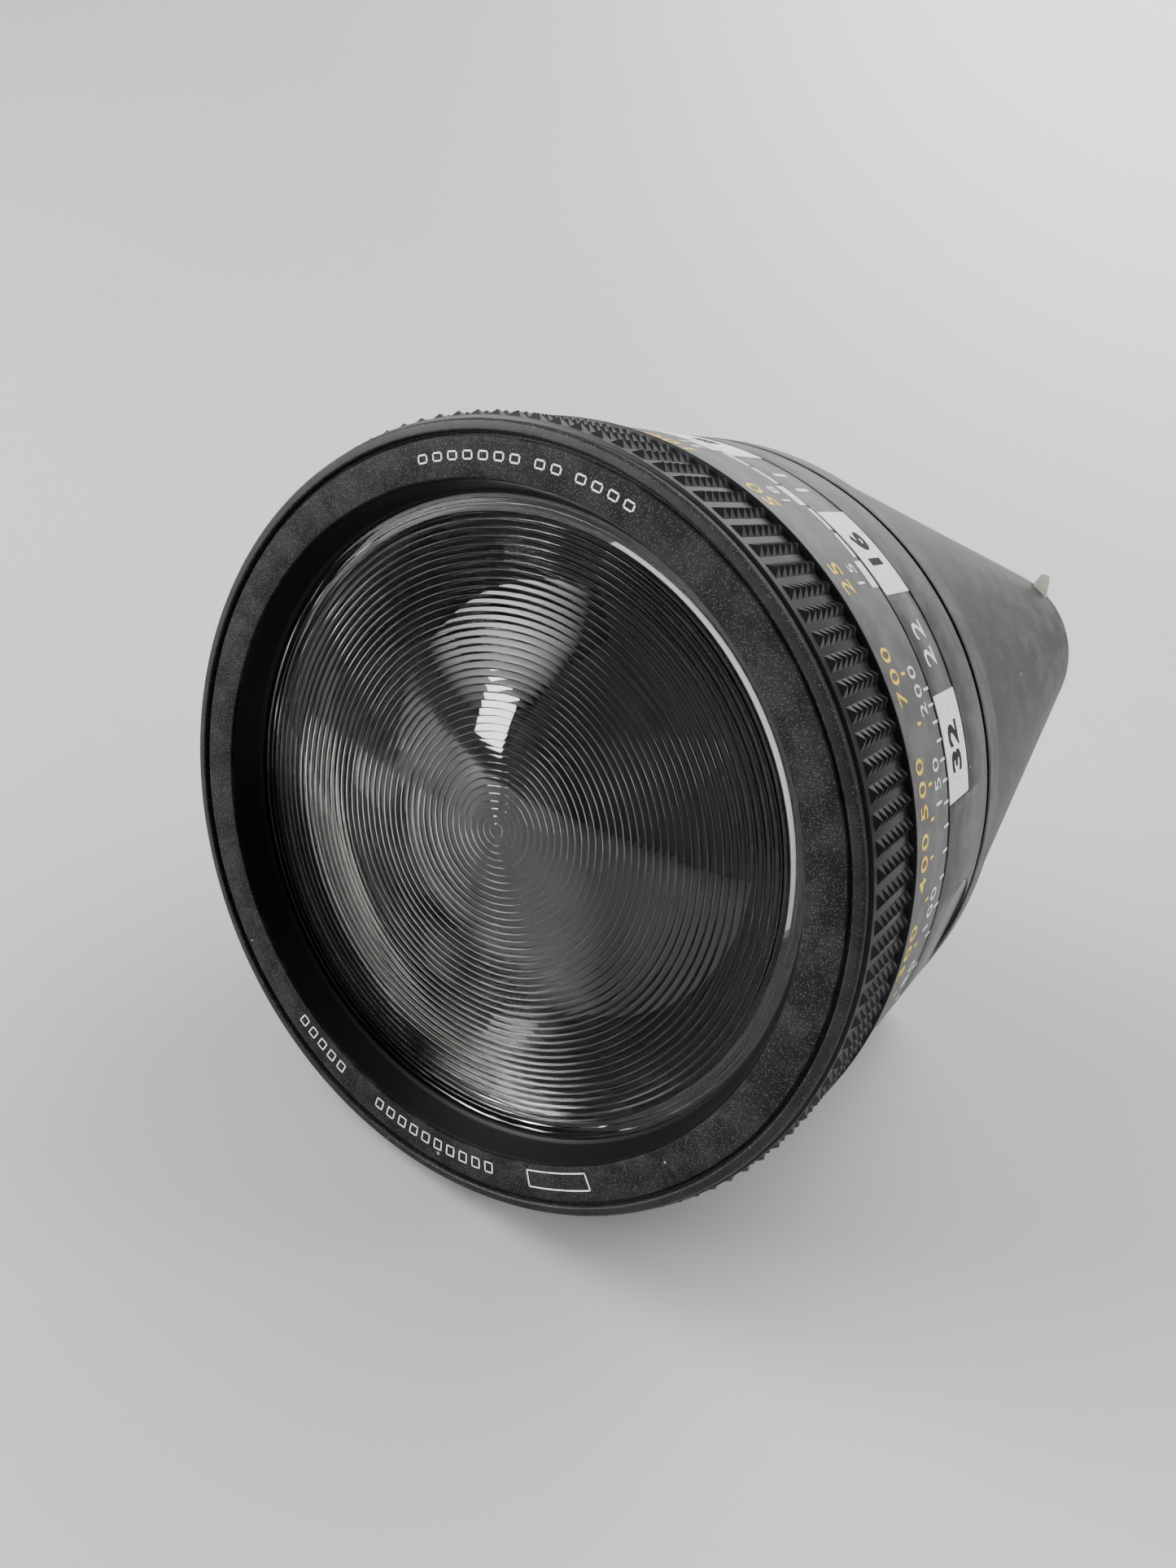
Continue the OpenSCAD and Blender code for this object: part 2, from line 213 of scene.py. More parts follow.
def figure(text, height, turn, depth, radius, rise=0.05, bold=0.0, wide=1.0, gap=1.0):
    """A number printed round the barrel: it reads up the angle, its top to the front."""
    calm()
    bpy.ops.object.text_add(location=(0, 0, 0))
    ob = bpy.context.object
    t = ob.data
    t.body = text
    t.align_x = "CENTER"
    t.align_y = "CENTER"
    t.size = height / 0.72
    t.space_character = gap
    t.offset = bold
    t.extrude = rise
    t.resolution_u = 3
    bpy.ops.object.convert(target="MESH")
    ob = bpy.context.object
    outward(ob, 0.002)
    for v in ob.data.vertices:
        a = turn + math.degrees(v.co.x * wide / radius)
        v.co = spot(radius + v.co.z, depth - v.co.y, a)
    return ob


def dress(ob, body, mat, slot, *stands_for):
    """Material, body and the CAD nodes that a finished piece stands for."""
    ob.data.materials.clear()
    ob.data.materials.append(mat)
    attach(ob, body)
    if stands_for:
        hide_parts(*stands_for)
    return ob


# ---------------------------------------------------------------- materials

def group(name, inputs, outputs):
    """An empty shader group with its two ends."""
    g = bpy.data.node_groups.new(name, "ShaderNodeTree")
    for label, kind, value in inputs:
        s = g.interface.new_socket(name=label, in_out="INPUT", socket_type=kind)
        s.default_value = value
    for label, kind in outputs:
        g.interface.new_socket(name=label, in_out="OUTPUT", socket_type=kind)
    return g, g.nodes.new("NodeGroupInput"), g.nodes.new("NodeGroupOutput")


def put(tree, kind, **values):
    """A node with its inputs, or its own settings, set by name."""
    n = tree.nodes.new(kind)
    for k, v in values.items():
        if k in n.inputs:
            n.inputs[k].default_value = v
        else:
            setattr(n, k, v)
    return n


def ramp(tree, source, low, high):
    """The source with low brought to 0 and high to 1."""
    m = put(tree, "ShaderNodeMapRange")
    m.inputs["From Min"].default_value = low
    m.inputs["From Max"].default_value = high
    tree.links.new(source, m.inputs["Value"])
    return m.outputs["Result"]


def maths(tree, op, a, b):
    m = put(tree, "ShaderNodeMath", operation=op)
    for i, v in enumerate((a, b)):
        if isinstance(v, (int, float)):
            m.inputs[i].default_value = v
        else:
            tree.links.new(v, m.inputs[i])
    return m.outputs[0]


def make_grain():
    """Fine moulded or spark-eroded grain, with sparse painted glints."""
    g, i, o = group(
        "fine grain",
        [("Vector", "NodeSocketVector", (0, 0, 0)), ("Size", "NodeSocketFloat", 3000.0),
         ("Sparkle", "NodeSocketFloat", 0.5)],
        [("Height", "NodeSocketFloat"), ("Sparkle", "NodeSocketFloat")])
    n = put(g, "ShaderNodeTexNoise", Detail=3.0, Roughness=0.6)
    v = put(g, "ShaderNodeTexVoronoi")
    g.links.new(i.outputs["Vector"], n.inputs["Vector"])
    g.links.new(i.outputs["Size"], n.inputs["Scale"])
    g.links.new(i.outputs["Vector"], v.inputs["Vector"])
    g.links.new(maths(g, "MULTIPLY", i.outputs["Size"], 2.0), v.inputs["Scale"])
    # painted glints: sparse dots that stand in for the grain catching the light
    cell = maths(g, "GREATER_THAN", v.outputs["Color"], 0.74)
    near = maths(g, "LESS_THAN", v.outputs["Distance"], 0.36)
    painted_glint_dots = maths(g, "MULTIPLY", maths(g, "MULTIPLY", cell, near), i.outputs["Sparkle"])
    g.links.new(n.outputs["Fac"], o.inputs["Height"])
    g.links.new(painted_glint_dots, o.inputs["Sparkle"])
    return g


def make_wear():
    """Broad handling marks, rubbed spots and dust specks."""
    g, i, o = group(
        "handling wear",
        [("Vector", "NodeSocketVector", (0, 0, 0)), ("Rubbed", "NodeSocketFloat", 0.3),
         ("Dust", "NodeSocketFloat", 0.3)],
        [("Rubbed", "NodeSocketFloat"), ("Dust", "NodeSocketFloat"), ("Cloud", "NodeSocketFloat")])
    cloud = put(g, "ShaderNodeTexNoise", Scale=38.0, Detail=4.0, Roughness=0.6)
    spots = put(g, "ShaderNodeTexNoise", Scale=420.0, Detail=3.0, Roughness=0.7)
    specks = put(g, "ShaderNodeTexVoronoi", Scale=330.0)
    for n in (cloud, spots, specks):
        g.links.new(i.outputs["Vector"], n.inputs["Vector"])
    area = ramp(g, cloud.outputs["Fac"], 0.5, 0.68)
    rub = ramp(g, spots.outputs["Fac"], 0.6, 0.72)
    rubbed = maths(g, "MULTIPLY", maths(g, "MULTIPLY", area, rub), i.outputs["Rubbed"])
    g.links.new(rubbed, o.inputs["Rubbed"])
    few = maths(g, "GREATER_THAN", specks.outputs["Color"], 0.9)
    small = maths(g, "LESS_THAN", specks.outputs["Distance"], 0.09)
    dust = maths(g, "MULTIPLY", maths(g, "MULTIPLY", few, small), i.outputs["Dust"])
    g.links.new(dust, o.inputs["Dust"])
    g.links.new(cloud.outputs["Fac"], o.inputs["Cloud"])
    return g


def make_edges():
    """Edges rubbed lighter, read from how the surface bends."""
    g, i, o = group(
        "rubbed edges",
        [("Vector", "NodeSocketVector", (0, 0, 0)), ("Width", "NodeSocketFloat", 0.08)],
        [("Mask", "NodeSocketFloat")])
    geo = put(g, "ShaderNodeNewGeometry")
    n = put(g, "ShaderNodeTexNoise", Scale=260.0, Detail=4.0)
    g.links.new(i.outputs["Vector"], n.inputs["Vector"])
    bent = ramp(g, maths(g, "SUBTRACT", geo.outputs["Pointiness"], i.outputs["Width"]), 0.45, 0.56)
    g.links.new(maths(g, "MULTIPLY", bent, ramp(g, n.outputs["Fac"], 0.42, 0.62)), o.inputs["Mask"])
    return g


GROUPS = {}


def shared(name):
    """Each shader group is made once."""
    if name not in GROUPS:
        GROUPS[name] = {"grain": make_grain, "wear": make_wear, "edges": make_edges}[name]()
    return GROUPS[name]


def mix(tree, mask, a, b):
    """From colour a to colour b where the mask is 1."""
    m = put(tree, "ShaderNodeMix", data_type="RGBA")
    tree.links.new(mask, m.inputs["Factor"])
    ins = [s for s in m.inputs if s.type == "RGBA"]
    for sock, v in zip(ins, (a, b)):
        if isinstance(v, (tuple, list)):
            sock.default_value = (*v[:3], 1.0)
        else:
            tree.links.new(v, sock)
    return [s for s in m.outputs if s.type == "RGBA"][0]


def blank(name):
    """A new material with its tree, its Principled node and the object coordinates."""
    m = bpy.data.materials.new(name)
    m.use_nodes = True
    t = m.node_tree
    return m, t, t.nodes["Principled BSDF"], put(t, "ShaderNodeTexCoord").outputs["Object"]


def raise_bumps(t, b, height, strength, distance):
    """Bumps from a height, without moving the surface."""
    bumps = put(t, "ShaderNodeBump", Strength=strength, Distance=distance)
    t.links.new(height, bumps.inputs["Height"])
    t.links.new(bumps.outputs["Normal"], b.inputs["Normal"])


def plastic(name, colour, rough, grain, bump, painted_glint, rubbed, dust,
            worn=(0.22, 0.22, 0.21), level=0.5, edge=0.35):
    """Moulded plastic: grain, clouding, rubbed spots, edges, dust and painted glints."""
    m, t, b, where = blank(name)
    g = put(t, "ShaderNodeGroup", node_tree=shared("grain"), Size=grain, Sparkle=painted_glint)
    w = put(t, "ShaderNodeGroup", node_tree=shared("wear"), Rubbed=rubbed, Dust=dust)
    e = put(t, "ShaderNodeGroup", node_tree=shared("edges"), Width=0.02)
    for n in (g, w, e):
        t.links.new(where, n.inputs["Vector"])
    lighter = tuple(min(1.0, c * 1.15 + 0.0005) for c in colour)
    base = mix(t, ramp(t, w.outputs["Cloud"], 0.35, 0.75), colour, lighter)
    base = mix(t, w.outputs["Rubbed"], base, worn)
    base = mix(t, maths(t, "MULTIPLY", e.outputs["Mask"], edge), base, worn)
    # painted glints: light grey dots mixed into the colour, with lower roughness there
    base = mix(t, g.outputs["Sparkle"], base, (0.5, 0.5, 0.52))
    base = mix(t, w.outputs["Dust"], base, (0.6, 0.6, 0.58))
    t.links.new(base, b.inputs["Base Color"])
    low = maths(t, "MULTIPLY", w.outputs["Cloud"], 0.025)
    rub = maths(t, "MULTIPLY", w.outputs["Rubbed"], 0.12)
    shine = maths(t, "SUBTRACT", maths(t, "ADD", low, rough - 0.012), rub)
    t.links.new(maths(t, "SUBTRACT", shine, maths(t, "MULTIPLY", g.outputs["Sparkle"], 0.2)),
                b.inputs["Roughness"])
    raise_bumps(t, b, g.outputs["Height"], bump, GRAIN_RISE)
    b.inputs["Specular IOR Level"].default_value = level
    return m


def paint(name, colour, rough=0.45, wear=0.5, level=0.5):
    """Printed figures: slightly uneven ink, chipped here and there."""
    m, t, b, where = blank(name)
    n = put(t, "ShaderNodeTexNoise", Scale=900.0, Detail=4.0)
    f = put(t, "ShaderNodeTexNoise", Scale=2600.0, Detail=2.0)
    t.links.new(where, n.inputs["Vector"])
    t.links.new(where, f.inputs["Vector"])
    dull = tuple(c * 0.82 for c in colour)
    base = mix(t, ramp(t, n.outputs["Fac"], 0.35, 0.7), colour, dull)
    chip = maths(t, "MULTIPLY", ramp(t, n.outputs["Fac"], 0.66, 0.72), wear)
    base = mix(t, chip, base, tuple(c * 0.3 for c in colour))
    t.links.new(base, b.inputs["Base Color"])
    shine = maths(t, "ADD", maths(t, "MULTIPLY", f.outputs["Fac"], 0.2), rough - 0.1)
    t.links.new(shine, b.inputs["Roughness"])
    b.inputs["Specular IOR Level"].default_value = level
    raise_bumps(t, b, f.outputs["Fac"], 0.15, 0.00002)
    return m


def clear_plastic(name, shade_tint):
    """Clear plastic with slight haze and dust, greyed by a tint that is painted shade for the dark inside
    seen through it.
    """
    m, t, b, where = blank(name)
    w = put(t, "ShaderNodeGroup", node_tree=shared("wear"), Rubbed=0.0, Dust=0.4)
    n = put(t, "ShaderNodeTexNoise", Scale=120.0, Detail=5.0)
    t.links.new(where, w.inputs["Vector"])
    t.links.new(where, n.inputs["Vector"])
    t.links.new(mix(t, w.outputs["Dust"], shade_tint, (0.9, 0.9, 0.88)), b.inputs["Base Color"])
    haze = maths(t, "MULTIPLY", ramp(t, n.outputs["Fac"], 0.4, 0.8), 0.03)
    t.links.new(maths(t, "ADD", maths(t, "ADD", haze, 0.02), maths(t, "MULTIPLY", w.outputs["Dust"], 0.3)),
                b.inputs["Roughness"])
    b.inputs["IOR"].default_value = 1.49
    b.inputs["Transmission Weight"].default_value = 1.0
    return m


def metal(name, colour, rough):
    """Plain metal, a little uneven in colour and shine."""
    m, t, b, where = blank(name)
    n = put(t, "ShaderNodeTexNoise", Scale=1400.0, Detail=4.0)
    t.links.new(where, n.inputs["Vector"])
    t.links.new(mix(t, n.outputs["Fac"], colour, tuple(c * 0.7 for c in colour)), b.inputs["Base Color"])
    shine = maths(t, "ADD", maths(t, "MULTIPLY", n.outputs["Fac"], 0.25), rough - 0.1)
    t.links.new(shine, b.inputs["Roughness"])
    b.inputs["Metallic"].default_value = 1.0
    return m


def felt(name, colour):
    """Pressed felt with a soft sheen."""
    m, t, b, where = blank(name)
    n = put(t, "ShaderNodeTexNoise", Scale=2400.0, Detail=6.0, Roughness=0.8)
    t.links.new(where, n.inputs["Vector"])
    t.links.new(mix(t, n.outputs["Fac"], colour, tuple(c * 2.2 for c in colour)), b.inputs["Base Color"])
    raise_bumps(t, b, n.outputs["Fac"], 0.8, 0.0002)
    t.links.new(ramp(t, n.outputs["Fac"], -2.0, 0.6), b.inputs["Roughness"])
    b.inputs["Sheen Weight"].default_value = 0.6
    return m


MATERIALS = {}


def finish_of(name):
    """Each finish is made the first time that a piece asks for it. The numbers after a plastic's
    colour are its roughness, grain size, bumps, painted glints, rubbed spots and dust."""
    look = bpy.context.scene.tele_colours
    makers = {
        "bezel": lambda: plastic("bezel sparkle black", look.bezel[:], 0.46, 3400.0, 0.7, 0.3, 0.0, 0.3,
                                 worn=(0.05, 0.05, 0.05), level=0.2, edge=0.3),
        "name": lambda: plastic("name ring black", look.bezel[:], 0.52, 3400.0, 0.7, 0.16, 0.0, 0.5,
                                level=0.09, edge=0.1),
        # front wall and lock ring: black deeper than the bezel's, painted shade for the shadow on the wall
        # and in the joint
        "cone": lambda: plastic("deep satin black", look.inner[:], 0.36, 5000.0, 0.05, 0.0, 0.0, 0.5,
                                level=0.1, edge=0.0),
        "ring": lambda: plastic("scale ring black", look.ring[:], 0.42, 4200.0, 0.14, 0.0, 0.12, 0.5,
                                level=0.36, edge=0.3),
        "grip": lambda: plastic("grip black", look.grip[:], 0.34, 4200.0, 0.4, 0.0, 0.0, 0.2,
                                level=0.2, edge=0.0),
        "body": lambda: plastic("body grey black", look.body[:], 0.46, 4200.0, 0.16, 0.0, 0.35, 0.6,
                                level=0.32, edge=0.3),
        "housing": lambda: plastic("housing grey black", look.housing[:], 0.5, 3800.0, 0.2, 0.0, 0.08, 0.4,
                                   level=0.32, edge=0.3),
        "strip": lambda: plastic("strip black", look.ring[:], 0.4, 5200.0, 0.08, 0.0, 0.05, 0.3),
        "plug": lambda: plastic("plug grey", look.body[:], 0.34, 5200.0, 0.05, 0.0, 0.3, 0.3),
        # matt inner black: the own black of the baffle, retainer and stop frame, and painted shade on the
        # inside faces of the housing
        "inner": lambda: plastic("matt inner black and painted shade", look.inner[:], 0.85, 2600.0, 0.1, 0.0, 0.0, 0.1,
                                 level=0.06, edge=0.0),
        "catch": lambda: plastic("catch grey", look.catch[:], 0.42, 3800.0, 0.2, 0.0, 0.3, 0.3,
                                 worn=(0.45, 0.44, 0.42)),
        "white": lambda: paint("print white", look.white[:]),
        "yellow": lambda: paint("print yellow", look.yellow[:]),
        "dark": lambda: paint("print black", (0.006, 0.006, 0.006), 0.6, 0.0, 0.15),
        "clear": lambda: clear_plastic("clear stepped plastic", look.lens[:]),
        "steel": lambda: metal("plain steel", (0.62, 0.62, 0.64), 0.3),
        "washer": lambda: plastic("washer plastic", (0.62, 0.60, 0.50), 0.35, 3000.0, 0.05, 0.0, 0.1, 0.1,
                                  worn=(0.4, 0.39, 0.34)),
        "felt": lambda: felt("felt black", (0.018, 0.018, 0.017)),
    }
    if name not in MATERIALS:
        MATERIALS[name] = makers[name]()
    return MATERIALS[name]


# ---------------------------------------------------------------- settings

class TeleSizes(bpy.types.PropertyGroup):
    lens_steps: bpy.props.IntProperty(
        name="Lens steps", description="Rings of steps on the front of the lens", default=40, min=12, max=60)
    lens_slope: bpy.props.FloatProperty(
        name="Lens slope", description="Slope of the outermost step", default=math.radians(38.0),
        subtype="ANGLE")
    grip_rows: bpy.props.IntProperty(
        name="Grip rows", description="Rows of points along the grip", default=7, min=3, max=9)
    grip_columns: bpy.props.IntProperty(
        name="Grip columns", description="Points round the grip", default=114, min=40, max=180)
    stop_turn: bpy.props.FloatProperty(
        name="Turn per stop", description="Turn of the ring for one lens stop", default=math.radians(15.25),
        subtype="ANGLE")
    teeth: bpy.props.IntProperty(
        name="Lock ring teeth", description="Fine teeth round the lock ring", default=960, min=60, max=1200)


class TeleColours(bpy.types.PropertyGroup):
    bezel: bpy.props.FloatVectorProperty(
        name="Bezel", description="Front rim and name ring", subtype="COLOR", default=(0.008, 0.0085, 0.0095))
    # inner black, deeper than the other blacks: painted shade on the wall in front of the lens, in the joint
    # at the lock ring and inside the funnel; the baffle, retainer and stop frame have it as their own black
    inner: bpy.props.FloatVectorProperty(
        name="Inner", description="Wall in front of the lens and the inside", subtype="COLOR",
        default=(0.004, 0.004, 0.004))
    ring: bpy.props.FloatVectorProperty(
        name="Scale ring", description="Ring with the distances", subtype="COLOR",
        default=(0.016, 0.016, 0.015))
    grip: bpy.props.FloatVectorProperty(
        name="Grip", description="Moulded points", subtype="COLOR", default=(0.010, 0.010, 0.010))
    body: bpy.props.FloatVectorProperty(
        name="Body", description="Fixed barrel", subtype="COLOR", default=(0.031, 0.031, 0.029))
    housing: bpy.props.FloatVectorProperty(
        name="Housing", description="Funnel to the socket", subtype="COLOR", default=(0.052, 0.052, 0.049))
    catch: bpy.props.FloatVectorProperty(
        name="Catch", description="Finger tabs", subtype="COLOR", default=(0.50, 0.48, 0.42))
    white: bpy.props.FloatVectorProperty(
        name="White print", description="White figures and blocks", subtype="COLOR",
        default=(0.93, 0.94, 0.92))
    yellow: bpy.props.FloatVectorProperty(
        name="Yellow print", description="Yellow figures", subtype="COLOR", default=(1.0, 0.66, 0.03))
    # the lens tint is grey: painted shade that darkens the inside seen through the clear plastic
    lens: bpy.props.FloatVectorProperty(
        name="Lens", description="Tint of the clear plastic", subtype="COLOR", default=(0.55, 0.55, 0.53))


# ---------------------------------------------------------------- pieces

class TELE_OT_bezel(bpy.types.Operator):
    """Front rim with its chamfer and the groove inside it"""
    bl_idname = "tele.bezel"
    bl_label = "Front bezel"

    def execute(self, context):
        r = RIM_R
        ob = turned("front_rim", [
            (49.3, 0.97), (r - 2.15, 0.97), (r - 1.75, 1.15), (r - 1.55, 1.1), (r - 1.5, 0.2),
            (r - 1.42, 0.07), (r - 1.3, 0.0), (r - 0.5, 0.0), (r - 0.34, 0.05), (r - 0.06, 0.36), (r, 0.5),
            (r, 1.38), (r - 0.1, 1.45), (53.0, 1.45), (53.0, 2.3), (50.45, 2.3), (50.45, 11.5),
            (49.3, 11.5)], FACETS)
        dress(ob, "attachment", finish_of("bezel"), "bezel_black", "front_bezel")
        return {"FINISHED"}


class TELE_OT_name_ring(bpy.types.Operator):
    """Flat textured ring with plain printed marks where makers put their names"""
    bl_idname = "tele.name_ring"
    bl_label = "Name ring"

    def execute(self, context):
        ob = turned("name_ring_plate", [
            (48.7, 0.96), (48.7, 0.5), (48.76, 0.4), (48.9, 0.35), (53.5, 0.35), (53.75, 0.38), (53.95, 0.55),
            (53.95, 0.96)], FACETS)
        dress(ob, "attachment", finish_of("name"), "name_black", "name_ring")
        marks = []
        line, wide, step = 0.2, 1.75, 2.75

        def box(r0, r1, a0, a1):
            turn = math.degrees(line / r0)
            for inner, outer, start, end in ((r0, r0 + line, a0, a1), (r1 - line, r1, a0, a1),
                                             (r0, r1, a0, a0 + turn), (r0, r1, a1 - turn, a1)):
                marks.append(bar("mark", inner, outer, 0.33, 0.36, start, end))

        # rows of small blank boxes along two arcs, and one larger blank box
        for start, way, r0, r1, count in (
                (78.6, 1, 50.9, 52.1, 4), (91.0, 1, 50.9, 52.1, 2), (98.0, 1, 50.9, 52.1, 7),
                (-69.0, -1, 49.9, 51.7, 10), (-104.0, -1, 49.9, 51.7, 5)):
            for k in range(count):
                a = start + way * k * step
                box(r0, r1, min(a, a + way * wide), max(a, a + way * wide))
        box(49.4, 52.2, -61.8, -49.6)
        ob = join("name_ring_marks", marks)
        dress(ob, "attachment", finish_of("white"), "print_white")
        return {"FINISHED"}


class TELE_OT_cone(bpy.types.Operator):
    """Black wall from the name ring down to the lens, in a black deeper than the bezel's: painted shade for
    the shadow on the wall
    """
    bl_idname = "tele.cone"
    bl_label = "Front cone"

    def execute(self, context):
        ob = turned("lens_wall", [
            (48.55, 0.96), (49.25, 0.96), (49.25, 5.79), (46.95, 5.79), (46.9, 5.6), (47.0, 5.4),
            (47.35, 5.2), (47.5, 5.0), (48.35, 1.3)], FACETS)
        dress(ob, "attachment", finish_of("cone"), "cone_black", "front_cone")
        return {"FINISHED"}


class TELE_OT_lens(bpy.types.Operator):
    """Clear lens with rings of steps that get steeper outwards and a smooth rim"""
    bl_idname = "tele.lens"
    bl_label = "Stepped lens"

    def execute(self, context):
        size = context.scene.tele_sizes
        edge, back, top = 44.6, 8.27, 6.1
        pitch = edge / size.lens_steps
        line = [(0.0, back), (0.0, top)]
        for k in range(size.lens_steps):
            out = (k + 1) * pitch
            fall = pitch * math.tan(size.lens_slope) * (k + 0.5) / size.lens_steps
            # the crest between this step and the next is slightly rounded
            line += [(out - 0.08, top + fall - 0.02), (out - 0.02, top + fall)]
            line += [(out - 0.01, top + 0.13), (out, top + 0.06), (out + 0.05, top + 0.01), (out + 0.12, top)]
        # a smooth rim with one low bead, then the seat under the lens wall
        line += [(45.3, top), (45.4, top - 0.16), (45.7, top - 0.16), (45.8, top), (46.3, top), (46.4, 5.86),
                 (46.75, 5.86), (47.0, 5.81), (49.2, 5.81), (49.2, back)]
        ob = turned("stepped_lens", line, 256, angle=12.0)
        dress(ob, "attachment", finish_of("clear"), "lens_clear", "fresnel_lens")
        return {"FINISHED"}


class TELE_OT_grip(bpy.types.Operator):
    """Sleeve with rows of moulded points between a front band and a raised rear rim"""
    bl_idname = "tele.grip"
    bl_label = "Grip"

    def execute(self, context):
        size = context.scene.tele_sizes
        # the rows start and end here, on a land of this radius
        z0, z1, land = 2.6, 15.55, 56.5
        ob = turned("grip_base", [
            (55.0, 16.28), (55.0, 1.55), (56.35, 1.55), (land - 0.04, 1.59), (land, 1.7), (land, z1 + 0.02),
            (56.9, z1 + 0.1), (57.3, z1 + 0.16), (GRIP_RIM_R, z1 + 0.25), (GRIP_RIM_R, 16.1),
            (57.25, 16.28)], 228)
        pitch = (z1 - z0) / size.grip_rows
        step = 360.0 / size.grip_columns
        wide = land * math.radians(step)
        tall, sunk, lean = 0.85, 0.1, 0.4
        points = []
        for row in range(size.grip_rows):
            calm()
            bpy.ops.mesh.primitive_cone_add(vertices=4, radius1=math.sqrt(0.5), radius2=0.05, depth=1.0)
            p = bpy.context.object
            p.rotation_euler = (0, 0, math.radians(45.0))
            settle(p)
            # the base's width goes round the barrel and its depth along it
            p.scale = (wide * 0.75 * MM, pitch * 0.98 * MM, tall * MM)
            settle(p)
            p.rotation_euler = (0, math.radians(90.0), 0)
            p.location = spot(land - sunk + tall / 2, z0 + (row + 0.5) * pitch)
            settle(p)
            # the point leans to one side of its base
            for v in p.data.vertices:
                v.select = v.co.x > (land + 0.5) * MM
            only(p)
            bpy.ops.object.mode_set(mode="EDIT")
            bpy.ops.mesh.select_mode(type="VERT")
            bpy.ops.transform.translate(value=(0, 0, lean * MM))
            bpy.ops.object.mode_set(mode="OBJECT")
            points.append(p)
        column = join("grip_column", points)
        all_points = copies(column, [k * step for k in range(1, size.grip_columns)]) + [column]
        ob = join("grip_points", [ob] + all_points)
        smooth(ob, 20.0)
        dress(ob, "dial", finish_of("grip"), "grip_black", "grip_sleeve")
        return {"FINISHED"}


class TELE_OT_ring(bpy.types.Operator):
    """Turning ring under the grip, with its scales"""
    bl_idname = "tele.ring"
    bl_label = "Setting ring"

    def execute(self, context):
        stop = math.degrees(context.scene.tele_sizes.stop_turn)
        R = BARREL_R
        ob = turned("scale_ring", [
            (53.05, 32.6), (53.05, 2.1), (55.0, 2.1), (55.0, 16.36), (R - 0.3, 16.36), (R - 0.1, 16.42),
            (R, 16.6), (R, 32.35), (R - 0.08, 32.52), (R - 0.25, 32.6)], FACETS)
        dress(ob, "dial", finish_of("ring"), "ring_black", "setting_ring")

        sunk, rise = 0.1, 0.035

        # twice the distance is two stops, so the scales go by the logarithm
        def metres(v):
            return 10.0 + 2 * stop * math.log2(v / 100.0)

        def feet(v):
            return 18.95 + 2 * stop * math.log2(v / 400.0)

        def print_bar(name, d0, d1, a0, a1, steps=None):
            return bar(name, R - sunk, R + rise, d0, d1, a0, a1, steps)

        def tick(turn, d0, d1, wide):
            half = math.degrees(wide / R) / 2
            return print_bar("tick", d0, d1, turn - half, turn + half, 1)

        white, yellow = [], []
        for v in (15, 20, 30, 40, 50, 60, 80, 100, 150, 200):
            shift = 0.2 if v > 90 else 0
            white.append(figure(str(v), 2.8, metres(v) + shift, 28.1, R, rise, 0.0, 1.06, 1.25))
        for v in (15, 17, 20, 25, 30, 35, 40, 45, 50, 60, 70, 80, 90, 100, 110, 120, 130, 140, 150, 160, 170,
                  180, 190, 200):
            white.append(tick(metres(v), 30.3, 32.5, 0.36))
        for v in (50, 70, 100, 150, 200, 300, 400, 500, 700):
            yellow.append(figure(str(v), 3.1, feet(v), 21.0, R, rise, 0.02, 1.1, 1.25))
        for v in (50, 60, 70, 80, 100, 120, 150, 200, 250, 300, 350, 400, 450, 500, 600, 700):
            yellow.append(tick(feet(v), 23.6, 25.2, 0.4))
        # film speeds, one stop apart, with a block at each and two thinner ones between
        first, speeds = 57.9, 8
        for k in range(speeds):
            a = first + k * stop
            yellow.append(figure(str(25 * 2 ** k), 3.3, a, 21.2, R, rise, 0.035, 1.1, 1.15))
            white.append(figure(str(15 + 3 * k), 2.6, a, 27.0, R, rise, 0.0, 1.1, 1.2))
            white.append(print_bar("block", 29.9, 32.3, a - 2.2, a + 2.2))
            if k < speeds - 1:
                for j in (1, 2):
                    c = a + j * stop / 3
                    white.append(print_bar("block", 31.2, 32.3, c - 2.15, c + 2.15))
        dress(join("white_scale", white), "dial", finish_of("white"), "print_white")
        dress(join("yellow_scale", yellow), "dial", finish_of("yellow"), "print_white")
        return {"FINISHED"}


def side_disc(side, radius, thick, middle):
    """A flat disc in the side of the barrel, its middle that many mm from the axis."""
    calm()
    bpy.ops.mesh.primitive_cylinder_add(vertices=96, radius=radius * MM, depth=thick * MM)
    disc = bpy.context.object
    disc.rotation_euler = (0, math.radians(90.0), 0)
    disc.location = (side * middle * MM, FRONT + PLUG_DEPTH * MM, 0)
    return settle(disc)


class TELE_OT_body(bpy.types.Operator):
    """Fixed barrel with the window for the f-stop strip and the side recesses"""
    bl_idname = "tele.body"
    bl_label = "Body ring"

    def execute(self, context):
        R = BARREL_R
        ob = turned("barrel", [
            (50.5, 2.4), (53.0, 2.4), (53.0, 33.6), (R - 0.3, 33.6), (R - 0.08, 33.68), (R, 33.9), (R, 56.1),
            (R - 0.15, 56.45), (R - 0.4, 56.7), (52.5, 56.7), (52.5, 36.5), (50.5, 36.5)], FACETS)
        window = bar("window", 55.5, R + 2, 31.0, 44.6, STRIP_FROM, STRIP_FROM + STRIP_ARC, 132)
        cut(ob, window)
        for side in (1, -1):
            cut(ob, side_disc(side, 8.62, 8.0, 54.95 + 4))
        bevel(ob, 0.12, 2, 40.0)
        smooth(ob, 30.0)
        dress(ob, "attachment", finish_of("body"), "body_black", "body_ring")
        return {"FINISHED"}


